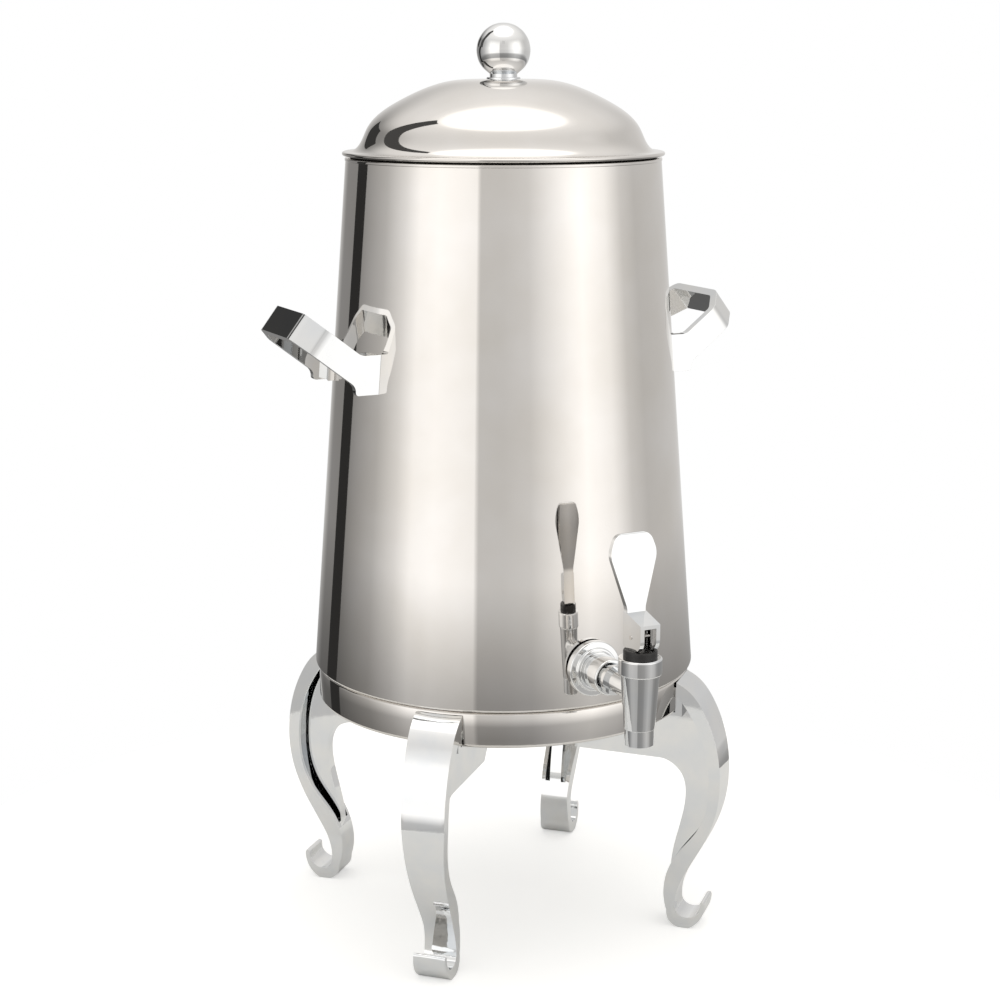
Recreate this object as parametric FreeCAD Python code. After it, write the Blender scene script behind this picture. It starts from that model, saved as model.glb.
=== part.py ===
import FreeCAD, Part
import math
import os

# Insulated coffee urn on four cast legs, in millimetres.
# Origin on the body's axis at the floor, +Z up, tap towards -Y, handles towards +X and -X.

# Body
floor_to_seam = 184.2
body_height = 347.8
foot_radius = 133.2
top_radius = 106.6
shell_wall = 0.9
foot_flange_width = 12.0
foot_bend = 2.6
vacuum_gap = 11.0
vessel_wall = 0.8
vessel_floor_rise = 13.0
vessel_corner = 16.0
neck_height = 13.0
mouth_ring_width = 21.6
mouth_ring_height = 2.2
bottom_plate_thickness = 1.2
seal_cap_radius = 12.0
seal_cap_height = 2.4

# Base
band_height = 24.0
band_inset = 2.6
band_wall = 1.2
band_flange_width = 12.5
band_bend = 2.4
seam_gasket_height = 0.8
base_plate_thickness = 2.0

# Legs, measured from the band's wall and the floor
leg_top_half_width = 16.2
leg_belly_half_width = 14.8
leg_shin_half_width = 12.2
leg_ankle_half_width = 10.6
leg_toe_half_width = 11.8
leg_belly_z = 110.0
leg_shin_z = 62.0
leg_ankle_z = 34.0
leg_toe_z = 6.0
leg_plate = 3.4
leg_edge_wall = 3.0
leg_web = 9.0
leg_pad = 4.0
arm_flange_width = 26.0
arm_flange_thickness = 4.0
arm_inner_radius = 32.0
arm_depth = 37.5

# Lines of the leg's side view, as distances outwards from the band's wall and down from its top edge
leg_front_line = ((1.6, 3.2), (10.5, 9.2), (20.5, 23.5), (28.0, 43.0), (31.6, 68.0),
                  (29.0, 96.0), (20.0, 120.0), (8.0, 142.0), (2.0, 156.0), (0.6, 167.0))
leg_edge_line = ((-7.8, 159.4), (-5.6, 143.4), (2.0, 128.4), (14.0, 112.4), (21.6, 95.4),
                 (23.8, 79.4), (22.6, 57.4), (18.0, 40.4), (10.0, 24.8), (1.4, 13.0))
leg_web_line = ((-4.2, 143.4), (-1.0, 119.4), (3.8, 99.4), (5.4, 84.4), (3.2, 73.4), (-4.0, 65.0))

# Lines of the curled foot, as distances outwards from the band's wall and up from the floor
toe_top_line = ((5.0, 8.6), (11.6, 8.2), (18.6, 19.4))
toe_tip_line = ((18.6, 19.4), (21.0, 20.4), (22.2, 18.6))
toe_low_line = ((22.2, 18.6), (19.4, 8.2), (10.8, 0.0))
heel_line = ((3.6, 0.0), (-2.6, 3.4), (-5.4, 12.0))
leg_angles = (-45.0, 45.0, 135.0, 225.0)
leg_names = ("front_right_leg", "rear_right_leg", "rear_left_leg", "front_left_leg")

# Fasteners
arm_screw_radius = 2.5
arm_screw_head_radius = 4.6
arm_screw_head_height = 3.5
arm_screw_circle = 95.0
arm_screw_spread = 9.3
weld_nut_height = 4.0
weld_nut_radius = 5.0
band_screw_radius = 2.0
band_screw_head_radius = 3.6
band_screw_head_height = 2.2
band_screw_spread = 9.6
band_screw_depth = 3.4
thread_gap = 0.05
seat_gap = 0.05

# Handles
handle_z = 396.3
handle_rise_angle = 37.5
handle_half_span = 41.0
handle_reach = 53.4
handle_corner_cut = 14.0
handle_corner_bend = 10.0
handle_strap = 5.5
handle_arm_height = 18.5
handle_grip_above = 11.0
handle_grip_below = 8.2
handle_root_above = 15.4
handle_root_below = 10.6
handle_heel_reach = 9.4
handle_boss_width = 14.0
handle_boss_depth = 4.5
handle_stud_radius = 2.5
handle_stud_length = 3.4

# Lid
lid_overhang = 2.2
lid_rim_thickness = 2.7
lid_height = 48.8
lid_shoulder_inset = 14.8
lid_sheet = 1.0
lid_seat_gap = 0.05
gasket_height = 2.5
gasket_width = 16.4
gasket_inset = 2.0
liner_depth = 18.0
liner_clearance = 1.6
liner_sheet = 0.8
crown_flat_radius = 14.0
knob_radius = 18.0
knob_neck_radius = 9.2
knob_neck_height = 3.2
knob_collar_radius = 11.4
knob_collar_height = 1.2
knob_screw_radius = 3.0

# Tap
tap_reach = 193.0
tap_z = 211.0
outlet_radius = 8.0
outlet_bore = 5.5
outlet_inside = 6.0
outlet_outside = 20.0
escutcheon_radius = 18.5
escutcheon_thickness = 7.0
union_radius = 12.0
union_length = 17.0
union_lip = 2.0
tail_radius = 7.4
tail_flange_radius = 9.6
tail_flange_thickness = 2.4
tail_bead_radius = 9.8
tail_bead_length = 3.0
outlet_seal_thickness = 1.5
spout_radius = 9.3
spout_bore = 6.0
spout_drop = 33.5
spout_length = 11.0
valve_low_radius = 9.9
valve_top_radius = 12.3
tap_seat_drop = 8.0
chamber_radius = 8.6
shoulder_radius = 13.9
shoulder_height = 8.5
tap_body_top = 21.5
bonnet_radius = 10.8
bonnet_height = 7.6
bonnet_skirt_depth = 7.0
stem_radius = 3.0
stem_gap = 0.06
stem_flat = 2.4
seat_cup_radius = 7.6
seat_cup_height = 9.0
spring_wire = 0.6
spring_radius = 5.2
spring_turns = 5

# Tap lever
pin_radius = 1.5
pin_rise = 8.0
cam_offset = 4.0
cam_gap = 0.1
lever_half_width = 7.0
slot_half_width = 4.2
slot_rise = 7.6
block_front_height = 10.0
block_rear = 10.0
paddle_half_width = 16.8
paddle_root_half_width = 6.5
paddle_root_rise = 14.5
paddle_length = 49.5
paddle_thickness = 4.6
paddle_tip_thickness = 3.2
paddle_lean = 5.0


# Worked-out sizes and places
cut_length = 2 * foot_radius
mouth_radius = top_radius - mouth_ring_width
band_radius = foot_radius - band_inset
lid_rim_radius = top_radius + lid_overhang
lid_shoulder_radius = lid_rim_radius - lid_shoulder_inset
seam_z = floor_to_seam
shell_top_z = seam_z + body_height
band_top_z = seam_z - seam_gasket_height
band_bottom_z = band_top_z - band_height
cone_slope = (foot_radius - top_radius) / body_height
mouth_top_z = shell_top_z + mouth_ring_height
tap_bottom_z = tap_z - spout_drop
shoulder_top_z = tap_z + tap_body_top
bonnet_top_z = shoulder_top_z + bonnet_height
pin_z = bonnet_top_z + pin_rise
base_plate_z = band_bottom_z + band_wall


def shell_radius(z):
    return foot_radius - (z - seam_z) * cone_slope


def point(across, up):
    return FreeCAD.Vector(across, 0, up)


def outline(corners):
    """Closed face in the XZ plane from corners (x, z) or (x, z, corner radius)."""
    edges = []
    starts = []
    ends = []
    arcs = []
    count = len(corners)
    for i in range(count):
        here = point(corners[i][0], corners[i][1])
        radius = corners[i][2] if len(corners[i]) > 2 else 0.0
        before = point(corners[i - 1][0], corners[i - 1][1])
        after = point(corners[(i + 1) % count][0], corners[(i + 1) % count][1])
        if radius <= 0.0:
            starts.append(here)
            ends.append(here)
            arcs.append(None)
            continue
        back = (before - here).normalize()
        ahead = (after - here).normalize()
        half = back.getAngle(ahead) / 2
        reach = radius / math.tan(half)
        middle = (back + ahead).normalize()
        centre = here + middle * (radius / math.sin(half))
        starts.append(here + back * reach)
        ends.append(here + ahead * reach)
        arcs.append(centre - middle * radius)
    for i in range(count):
        if arcs[i] is not None:
            edges.append(Part.Arc(starts[i], arcs[i], ends[i]).toShape())
        following = starts[(i + 1) % count]
        if (following - ends[i]).Length > 1e-6:
            edges.append(Part.LineSegment(ends[i], following).toShape())
    return Part.Face(Part.Wire(edges))


def spun(corners, centre_y=0.0):
    """Solid of revolution about the vertical line through (0, centre_y)."""
    solid = outline(corners).revolve(FreeCAD.Vector(0, 0, 0), FreeCAD.Vector(0, 0, 1), 360)
    solid.translate(FreeCAD.Vector(0, centre_y, 0))
    return solid


def sheet_corners(path, thickness):
    """Corners of a sheet whose outer side follows path, with its thickness on the right-hand side."""
    inner = []
    count = len(path)
    for i in range(count):
        here = FreeCAD.Vector(path[i][0], path[i][1], 0)
        sides = []
        if i > 0:
            sides.append((here - FreeCAD.Vector(path[i - 1][0], path[i - 1][1], 0)).normalize())
        if i < count - 1:
            sides.append((FreeCAD.Vector(path[i + 1][0], path[i + 1][1], 0) - here).normalize())
        normals = [FreeCAD.Vector(side.y, -side.x, 0) for side in sides]
        turn = sides[0].cross(sides[-1]).z
        middle = (normals[0] + normals[-1]).normalize()
        moved = here + middle * (thickness / middle.dot(normals[0]))
        radius = path[i][2] if len(path[i]) > 2 else 0.0
        if radius > 0.0:
            radius = radius - thickness if turn < 0 else radius + thickness
        inner.append((moved.x, moved.y, radius))
    return list(path) + inner[::-1]


def extruded(face, half_width):
    """Face in the XZ plane made solid evenly to both sides of that plane."""
    face = face.copy()
    face.translate(FreeCAD.Vector(0, -half_width, 0))
    return face.extrude(FreeCAD.Vector(0, 2 * half_width, 0))


def front_extruded(corners, length):
    """Outline given as (y, z) made solid from the YZ plane along +X."""
    face = outline(corners)
    face.rotate(FreeCAD.Vector(0, 0, 0), FreeCAD.Vector(0, 0, 1), 90)
    return face.extrude(FreeCAD.Vector(length, 0, 0))


def rod(radius, start, direction, length):
    return Part.makeCylinder(radius, length, start, direction)


def up_rod(radius, x, y, z, length):
    return rod(radius, FreeCAD.Vector(x, y, z), FreeCAD.Vector(0, 0, 1), length)


def tap_rod(radius, near, far):
    """Level rod at the tap's height between two distances in front of the urn's axis."""
    return rod(radius, FreeCAD.Vector(0, -near, tap_z), FreeCAD.Vector(0, -1, 0), far - near)


def tap_ring(outer, inner, near, far):
    return tap_rod(outer, near, far).cut(tap_rod(inner, near - 1, far + 1))


def hexagon(radius, x, y, z, height):
    corners = []
    for i in range(7):
        angle = math.radians(60 * i)
        corners.append(FreeCAD.Vector(x + radius * math.cos(angle), y + radius * math.sin(angle), z))
    return Part.Face(Part.makePolygon(corners)).extrude(FreeCAD.Vector(0, 0, height))


def spline(points, start_tangent=None, end_tangent=None):
    curve = Part.BSplineCurve()
    places = [point(x, z) for x, z in points]
    if start_tangent is None:
        curve.interpolate(places)
    else:
        curve.interpolate(Points=places, InitialTangent=point(*start_tangent),
                          FinalTangent=point(*end_tangent))
    return curve.toShape()


def line(start, end):
    return Part.LineSegment(point(*start), point(*end)).toShape()


def turned(shape, angle):
    shape = shape.copy()
    shape.rotate(FreeCAD.Vector(0, 0, 0), FreeCAD.Vector(0, 0, 1), angle)
    return shape


def group(solids):
    return Part.makeCompound(solids)


# Body shell, vessel and mouth

def outer_shell():
    inner_foot = foot_radius - foot_flange_width
    path = [(inner_foot, seam_z), (foot_radius, seam_z, foot_bend), (top_radius, shell_top_z)]
    shell = spun(sheet_corners(path, -shell_wall))
    return shell.cut(tap_rod(outlet_radius + seat_gap, 50, foot_radius + 10))


def shell_bottom():
    z = seam_z + shell_wall + seat_gap
    radius = shell_radius(z + bottom_plate_thickness) - shell_wall - foot_bend
    return up_rod(radius, 0, 0, z, bottom_plate_thickness)


def vacuum_seal_cap():
    top = seam_z + shell_wall
    return up_rod(seal_cap_radius, 0, 0, top - seal_cap_height, seal_cap_height)


def vessel_radius(z):
    return shell_radius(z) - shell_wall - vacuum_gap


def inner_vessel():
    floor_z = seam_z + vessel_floor_rise
    neck_z = shell_top_z - neck_height
    neck_radius = mouth_radius + vessel_wall
    path = [(0, floor_z), (vessel_radius(floor_z), floor_z, vessel_corner),
            (vessel_radius(neck_z), neck_z, 4.0), (neck_radius, neck_z + 4.0, 3.0),
            (neck_radius, shell_top_z)]
    vessel = spun(sheet_corners(path, -vessel_wall))
    return vessel.cut(tap_rod(outlet_radius + seat_gap, 50, foot_radius))


def mouth_ring():
    outer = top_radius + 0.4
    return spun([(mouth_radius, shell_top_z), (outer, shell_top_z, 0.4),
                 (outer, mouth_top_z, 1.4), (mouth_radius, mouth_top_z, 1.4)])


# Base

def seam_gasket():
    inner = band_radius - band_flange_width
    return spun([(inner, band_top_z), (band_radius - band_bend, band_top_z),
                 (band_radius - band_bend, seam_z), (inner, seam_z)])


def base_band():
    inner = band_radius - band_flange_width
    path = [(inner, band_bottom_z), (band_radius, band_bottom_z, band_bend),
            (band_radius, band_top_z, band_bend), (inner, band_top_z)]
    band = spun(sheet_corners(path, -band_wall))
    for angle in leg_angles:
        for side in (-1, 1):
            band = band.cut(band_screw_hole(angle, side, band_screw_radius + seat_gap))
    return band


def base_plate():
    radius = band_radius - band_wall - band_bend
    plate = up_rod(radius, 0, 0, base_plate_z, base_plate_thickness)
    holes = [up_rod(arm_screw_radius + seat_gap, x, y, base_plate_z - 1, base_plate_thickness + 2)
             for x, y in arm_screw_places()]
    return plate.cut(group(holes))


# Fasteners of the base

def arm_screw_places():
    places = []
    for angle in leg_angles:
        turn = math.radians(angle)
        for side in (-1, 1):
            across = side * arm_screw_spread
            places.append((arm_screw_circle * math.cos(turn) - across * math.sin(turn),
                           arm_screw_circle * math.sin(turn) + across * math.cos(turn)))
    return places


def leg_arm_screws():
    head_top = base_plate_z - arm_flange_thickness
    length = base_plate_z + base_plate_thickness + weld_nut_height + 1.0 - head_top
    screws = []
    for x, y in arm_screw_places():
        head = hexagon(arm_screw_head_radius, x, y, head_top - arm_screw_head_height, arm_screw_head_height)
        screws.append(head.fuse(up_rod(arm_screw_radius, x, y, head_top - 1, length + 1)).removeSplitter())
    return group(screws)


def base_weld_nuts():
    z = base_plate_z + base_plate_thickness
    nuts = []
    for x, y in arm_screw_places():
        bore = up_rod(arm_screw_radius + thread_gap, x, y, z - 1, weld_nut_height + 2)
        nuts.append(hexagon(weld_nut_radius, x, y, z, weld_nut_height).cut(bore))
    return group(nuts)


def band_screw_z():
    return band_bottom_z + band_height / 2 + 1.0


def band_screw_hole(angle, side, radius):
    start = FreeCAD.Vector(band_radius - 12, side * band_screw_spread, band_screw_z())
    return turned(rod(radius, start, FreeCAD.Vector(1, 0, 0), 12 + band_screw_depth), angle)


def leg_band_screws():
    """Screws from inside the band's wall out into the pads of the legs."""
    edge = math.sqrt((band_radius - band_wall) ** 2 - (band_screw_spread + band_screw_head_radius) ** 2)
    head_back = edge - band_screw_head_height
    screws = []
    for angle in leg_angles:
        for side in (-1, 1):
            start = FreeCAD.Vector(head_back, side * band_screw_spread, band_screw_z())
            outward = FreeCAD.Vector(1, 0, 0)
            head = rod(band_screw_head_radius, start, outward, band_screw_head_height)
            shank_length = band_radius + band_screw_depth - 0.6 - head_back
            screw = head.fuse(rod(band_screw_radius, start, outward, shank_length)).removeSplitter()
            screws.append(turned(screw, angle))
    return group(screws)


# Legs

def from_band(points):
    """Places (radius, height) of points measured outwards and down from the band's top edge."""
    return [(band_radius + out, band_top_z - down) for out, down in points]


def from_floor(points):
    return [(band_radius + out, up) for out, up in points]


def leg_side():
    """Side view of the leg's strap: front line, curled toe, flat sole, heel and inner edge line."""
    front = from_band(leg_front_line)
    edge = from_band(leg_edge_line)
    toe_top = from_floor(toe_top_line)
    toe_low = from_floor(toe_low_line)
    heel = from_floor(heel_line)
    top = (band_radius + seat_gap, front[0][1] + 1.0)
    inner_top = (band_radius + seat_gap, edge[-1][1])
    edges = [
        line(top, front[0]),
        spline(front),
        spline([front[-1]] + toe_top),
        spline(from_floor(toe_tip_line)),
        spline(toe_low),
        line(toe_low[-1], heel[0]),
        spline(heel),
        spline([heel[-1]] + edge),
        line(edge[-1], inner_top),
        line(inner_top, top)]
    return extruded(Part.Face(Part.Wire(edges)), leg_top_half_width)


def leg_taper(inset, lowest, inner):
    """Front view of the leg between its middle and its edge, less the inset, made solid along X."""
    edge = [(leg_top_half_width - inset, band_top_z + 1), (leg_top_half_width - inset - 0.6, band_bottom_z),
            (leg_belly_half_width - inset, leg_belly_z), (leg_shin_half_width - inset, leg_shin_z),
            (leg_ankle_half_width - inset, leg_ankle_z), (leg_toe_half_width - inset, leg_toe_z),
            (leg_toe_half_width - inset, -1.0)]
    kept = [corner for corner in edge if corner[1] > lowest]
    if len(kept) < len(edge):
        above = kept[-1]
        below = edge[len(kept)]
        share = (above[1] - lowest) / (above[1] - below[1])
        kept.append((above[0] + (below[0] - above[0]) * share, lowest))
    corners = [(y, z, 40.0) if 0 < i < len(kept) - 1 and 30 < z < 120 else (y, z)
               for i, (y, z) in enumerate(kept)]
    return front_extruded(corners + [(inner, kept[-1][1]), (inner, kept[0][1])], cut_length)


def mirrored_y(shape):
    return shape.mirror(FreeCAD.Vector(0, 0, 0), FreeCAD.Vector(0, 1, 0))


def both_sides(shape):
    return shape.fuse(mirrored_y(shape))


def leg():
    """Cast leg: a curved strap with rolled edges, a middle web, a pad on the band and an arm below."""
    side = leg_side()
    full_width = leg_taper(0.0, -2.0, -0.5)
    strap = side.common(both_sides(full_width)).removeSplitter()

    outer = from_band(leg_front_line)
    pocket_outer = [(r - leg_plate * k, z - 1.6) for (r, z), k in
                    zip(outer[:8], (0.4, 0.9, 1.0, 1.0, 1.0, 1.0, 1.1, 1.2))]
    pocket_end = (band_radius - 12.0, pocket_outer[-1][1] - 8.0)
    pocket_edges = [spline(pocket_outer), line(pocket_outer[-1], pocket_end),
                    line(pocket_end, (pocket_end[0], band_top_z - 4.6)),
                    line((pocket_end[0], band_top_z - 4.6), pocket_outer[0])]
    pocket_side = extruded(Part.Face(Part.Wire(pocket_edges)), leg_top_half_width)
    pocket = pocket_side.common(leg_taper(leg_edge_wall, 44.0, leg_web / 2))
    strap = strap.cut(both_sides(pocket))

    web_low = band_bottom_z - arm_depth
    inner = from_band(leg_web_line)
    web_edges = [
        spline(inner + [(band_radius - 16.0, web_low)]),
        line((band_radius - 16.0, web_low), (arm_inner_radius + 22.0, web_low + 1.0)),
        line((arm_inner_radius + 22.0, web_low + 1.0), (arm_inner_radius, base_plate_z - 8.0)),
        line((arm_inner_radius, base_plate_z - 8.0), (arm_inner_radius, base_plate_z)),
        line((arm_inner_radius, base_plate_z), (band_radius - band_flange_width - 1.0, base_plate_z)),
        line((band_radius - band_flange_width - 1.0, base_plate_z),
             (band_radius - band_flange_width - 1.0, band_bottom_z)),
        line((band_radius - band_flange_width - 1.0, band_bottom_z), (band_radius + seat_gap, band_bottom_z)),
        line((band_radius + seat_gap, band_bottom_z), (band_radius + seat_gap, band_top_z - 4.0)),
        line((band_radius + seat_gap, band_top_z - 4.0), (outer[1][0] - 2.0, outer[1][1])),
        spline([(outer[1][0] - 2.0, outer[1][1])] + [(r - 1.2, z) for r, z in outer[2:8]]),
        line((outer[7][0] - 1.2, outer[7][1]), inner[0])]
    web = extruded(Part.Face(Part.Wire(web_edges)), leg_web / 2)

    flange_low = base_plate_z - arm_flange_thickness
    flange = extruded(outline([(arm_inner_radius, flange_low), (band_radius + leg_pad, flange_low),
                               (band_radius + leg_pad, band_bottom_z),
                               (band_radius - band_flange_width - 1.0, band_bottom_z),
                               (band_radius - band_flange_width - 1.0, base_plate_z),
                               (arm_inner_radius, base_plate_z)]), arm_flange_width / 2)
    pad_half_width = leg_top_half_width - 1.4
    pad = extruded(outline([(band_radius - 3.0, band_bottom_z), (band_radius + leg_pad, flange_low),
                            (band_radius + leg_pad, band_top_z - 6.0), (band_radius - 3.0, band_top_z - 6.0)]),
                   pad_half_width)
    casting = strap.fuse([web, flange, pad]).removeSplitter()
    band_space = up_rod(band_radius + seat_gap, 0, 0, band_bottom_z, band_height + 20)
    flange_space = up_rod(band_radius - band_flange_width - 1.0, 0, 0, band_bottom_z - 1,
                          base_plate_z - band_bottom_z + 1)
    casting = casting.cut(band_space.cut(flange_space))
    holes = []
    for side_sign in (-1, 1):
        holes.append(up_rod(arm_screw_radius + seat_gap, arm_screw_circle, side_sign * arm_screw_spread,
                            flange_low - 1, arm_flange_thickness + 2))
        start = FreeCAD.Vector(band_radius - 10, side_sign * band_screw_spread, band_screw_z())
        holes.append(rod(band_screw_radius + thread_gap, start, FreeCAD.Vector(1, 0, 0),
                         10 + band_screw_depth - 0.2))
    return casting.cut(group(holes))


# Handles

def cone_solid(offset):
    """Space inside the body's cone, grown outwards by the offset."""
    return Part.makeCone(foot_radius + offset, top_radius + offset, body_height,
                         FreeCAD.Vector(0, 0, seam_z), FreeCAD.Vector(0, 0, 1))


def on_slope(reach, up):
    """Place (x, z) measured along the handle's rising middle line and square to it."""
    slope = math.radians(handle_rise_angle)
    return (shell_radius(handle_z) + reach * math.cos(slope) - up * math.sin(slope),
            handle_z + reach * math.sin(slope) + up * math.cos(slope))


def handle_side():
    """Side view of the handle: upright root with its heel, rising arm and taller grip."""
    slope = math.radians(handle_rise_angle)
    wall = shell_radius(handle_z)
    half = handle_arm_height / 2
    end = handle_reach + handle_strap / 2
    grip_start = end - handle_corner_cut
    heel = (handle_heel_reach - half * math.sin(slope)) / math.cos(slope)
    shoulder = (handle_root_above - half * math.cos(slope)) / math.sin(slope)
    low = handle_z - handle_root_below
    high = handle_z + handle_root_above
    return outline([(wall - 20.0, low), (wall + handle_heel_reach, low, 2.0), on_slope(heel, -half) + (7.0,),
                    on_slope(grip_start, -half) + (30.0,), on_slope(end + 1.0, -handle_grip_below),
                    on_slope(end + 1.0, handle_grip_above), on_slope(grip_start, half) + (30.0,),
                    on_slope(shoulder, half) + (9.0,), (wall - 20.0, high)])


def handle_loop():
    """Loop of the strap seen square to its slope: two arms, cut corners and the grip."""
    outer = handle_half_span
    inner = handle_half_span - handle_strap
    bend = handle_corner_bend
    inner_bend = handle_corner_bend - handle_strap
    cut = handle_corner_cut
    start = -26.0
    end = handle_reach + handle_strap / 2
    inner_end = end - handle_strap
    shift = handle_strap * math.tan(math.radians(22.5))
    return outline([(start, -outer), (end - cut, -outer, bend), (end, -outer + cut, bend),
                    (end, outer - cut, bend), (end - cut, outer, bend), (start, outer), (start, inner),
                    (end - cut - shift, inner, inner_bend), (inner_end, outer - cut - shift, inner_bend),
                    (inner_end, -outer + cut + shift, inner_bend), (end - cut - shift, -inner, inner_bend),
                    (start, -inner)])


def handle():
    """Cast strap handle on the +X side, with a boss inside each root for its stud."""
    loop = handle_loop()
    loop.rotate(FreeCAD.Vector(0, 0, 0), FreeCAD.Vector(1, 0, 0), -90)
    strap = loop.extrude(FreeCAD.Vector(0, 0, 60))
    strap.translate(FreeCAD.Vector(0, 0, -30))
    strap.rotate(FreeCAD.Vector(0, 0, 0), FreeCAD.Vector(0, 1, 0), -handle_rise_angle)
    strap.translate(FreeCAD.Vector(shell_radius(handle_z), 0, handle_z))
    strap = strap.common(extruded(handle_side(), handle_half_span + 1.0))

    low = handle_z - handle_root_below
    high = handle_z + handle_root_above
    bosses = []
    for side in (-1, 1):
        outer = side * handle_half_span
        inner = side * (handle_half_span - handle_boss_width)
        bosses.append(front_extruded([(inner, low), (outer, low), (outer, high), (inner, high)], cut_length))
    casting = strap.fuse(group(bosses).common(cone_solid(handle_boss_depth))).cut(cone_solid(seat_gap))
    casting = casting.cut(group(stud_rods(thread_gap, 0.4)))
    return casting.removeSplitter()


def stud_rods(grow, longer):
    rods = []
    z = handle_z + (handle_root_above - handle_root_below) / 2
    for side in (-1, 1):
        y = side * (handle_half_span - handle_boss_width / 2)
        x = math.sqrt(shell_radius(z) ** 2 - y ** 2)
        start = FreeCAD.Vector(x - 6, y, z)
        rods.append(rod(handle_stud_radius + grow, start, FreeCAD.Vector(1, 0, 0),
                        6 + handle_stud_length + longer))
    return rods


def handle_studs():
    """Studs welded to the body's wall, two for each handle."""
    studs = [stud.cut(cone_solid(0.0)) for stud in stud_rods(0.0, 0.0)]
    return group([solid for stud in studs for solid in (stud, turned(stud, 180))])


# Lid

def lid_levels():
    rim_low = mouth_top_z + lid_seat_gap + gasket_height - lid_rim_thickness / 2
    rim_top = rim_low + lid_rim_thickness
    crown = rim_top + lid_height - 1.2
    return rim_low, rim_top, crown


def dome_points(inset):
    """Outer face of the dome from the flat crown to the rim's flange, moved inwards by the inset."""
    rim_low, rim_top, crown = lid_levels()
    shoulder = lid_shoulder_radius
    rise = crown - rim_top
    shape = [(crown_flat_radius, crown, 0.0), (shoulder * 0.40, crown - rise * 0.035, 0.10),
             (shoulder * 0.58, crown - rise * 0.145, 0.28), (shoulder * 0.745, crown - rise * 0.30, 0.48),
             (shoulder * 0.885, crown - rise * 0.475, 0.70), (shoulder * 0.972, crown - rise * 0.665, 0.92),
             (shoulder * 1.008, crown - rise * 0.815, 0.98), (shoulder * 1.05, crown - rise * 0.945, 0.55),
             (shoulder * 1.105, rim_top, 0.0)]
    moved = []
    for radius, z, sideways in shape:
        moved.append((radius - inset * sideways, z - inset * math.sqrt(1 - sideways ** 2)))
    return moved


def lid_dome():
    rim_low, rim_top, crown = lid_levels()
    bead = lid_rim_thickness / 2
    bead_centre = (lid_rim_radius - bead, rim_low + bead)
    outer = dome_points(0.0)
    inner = dome_points(lid_sheet)
    lip = lid_rim_radius - lid_rim_thickness - 1.0
    bore = knob_screw_radius + seat_gap
    edges = [
        line((bore, crown), outer[0]),
        spline(outer, (1, 0), (1, 0)),
        line(outer[-1], (bead_centre[0], rim_top)),
        Part.Arc(point(bead_centre[0], rim_top), point(lid_rim_radius, bead_centre[1]),
                 point(bead_centre[0], rim_low)).toShape(),
        line((bead_centre[0], rim_low), (lip, rim_low)),
        line((lip, rim_low), (lip, inner[-1][1])),
        line((lip, inner[-1][1]), inner[-1]),
        spline(inner, (1, 0), (1, 0)),
        line(inner[0], (bore, inner[0][1])),
        line((bore, inner[0][1]), (bore, crown))]
    face = Part.Face(Part.Wire(edges))
    return face.revolve(FreeCAD.Vector(0, 0, 0), FreeCAD.Vector(0, 0, 1), 360)


def liner_flange_z():
    return lid_levels()[1] - lid_sheet


def lid_liner():
    top = liner_flange_z() - seat_gap
    plug = mouth_radius - liner_clearance
    flange = lid_rim_radius - lid_rim_thickness - 1.4
    path = [(0, top - liner_depth), (plug - 2.0, top - liner_depth, 5.0), (plug, top, 1.6), (flange, top)]
    return spun(sheet_corners(path, liner_sheet))


def lid_gasket():
    low = mouth_top_z + lid_seat_gap
    top = liner_flange_z() - seat_gap - liner_sheet
    inner = mouth_radius + gasket_inset
    return spun([(inner, low), (inner + gasket_width, low, 0.8), (inner + gasket_width, top), (inner, top)])


def knob_collar():
    crown = lid_levels()[2]
    bore = knob_screw_radius + seat_gap
    return spun([(bore, crown), (knob_collar_radius, crown),
                 (knob_collar_radius, crown + knob_collar_height, 0.9), (bore, crown + knob_collar_height)])


def lid_knob():
    low = lid_levels()[2] + knob_collar_height
    centre = low + knob_neck_height - 1.2 + math.sqrt(knob_radius ** 2 - knob_neck_radius ** 2)
    top = centre + knob_radius
    neck_top = centre - math.sqrt(knob_radius ** 2 - knob_neck_radius ** 2)
    edges = [
        line((0, low), (knob_neck_radius, low)),
        line((knob_neck_radius, low), (knob_neck_radius, neck_top)),
        Part.Arc(point(knob_neck_radius, neck_top), point(knob_radius, centre), point(0, top)).toShape(),
        line((0, top), (0, low))]
    ball = Part.Face(Part.Wire(edges)).revolve(FreeCAD.Vector(0, 0, 0), FreeCAD.Vector(0, 0, 1), 360)
    return ball.cut(up_rod(knob_screw_radius + thread_gap, 0, 0, low - 1, 13.0))


def knob_screw():
    inside = lid_levels()[2] - lid_sheet
    head = up_rod(knob_screw_radius * 1.9, 0, 0, inside - 3.6, 3.6)
    return head.fuse(up_rod(knob_screw_radius, 0, 0, inside - 1, 13.0)).removeSplitter()


# Tap

def wall_front():
    """Distance of the body's wall in front of the axis at the tap's height."""
    return shell_radius(tap_z)


def union_start():
    return wall_front() + escutcheon_thickness


def tube_front():
    return wall_front() + outlet_outside


def outlet_tube():
    back = vessel_radius(tap_z) - outlet_inside
    return tap_ring(outlet_radius, outlet_bore, back, tube_front())


def escutcheon():
    """Stepped round plate round the outlet tube against the body's wall."""
    front = union_start()
    plate = tap_rod(escutcheon_radius, wall_front() - 6, front - escutcheon_thickness * 0.35)
    step = tap_rod(escutcheon_radius - 4.0, front - 4, front)
    ring = plate.fuse(step).cut(tap_rod(outlet_radius + seat_gap, 100, front + 5))
    return ring.cut(cone_solid(seat_gap)).removeSplitter()


def outlet_seal():
    return tap_ring(outlet_radius - 0.1, outlet_bore, tube_front(), tube_front() + outlet_seal_thickness)


def tail_start():
    return tube_front() + outlet_seal_thickness


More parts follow.
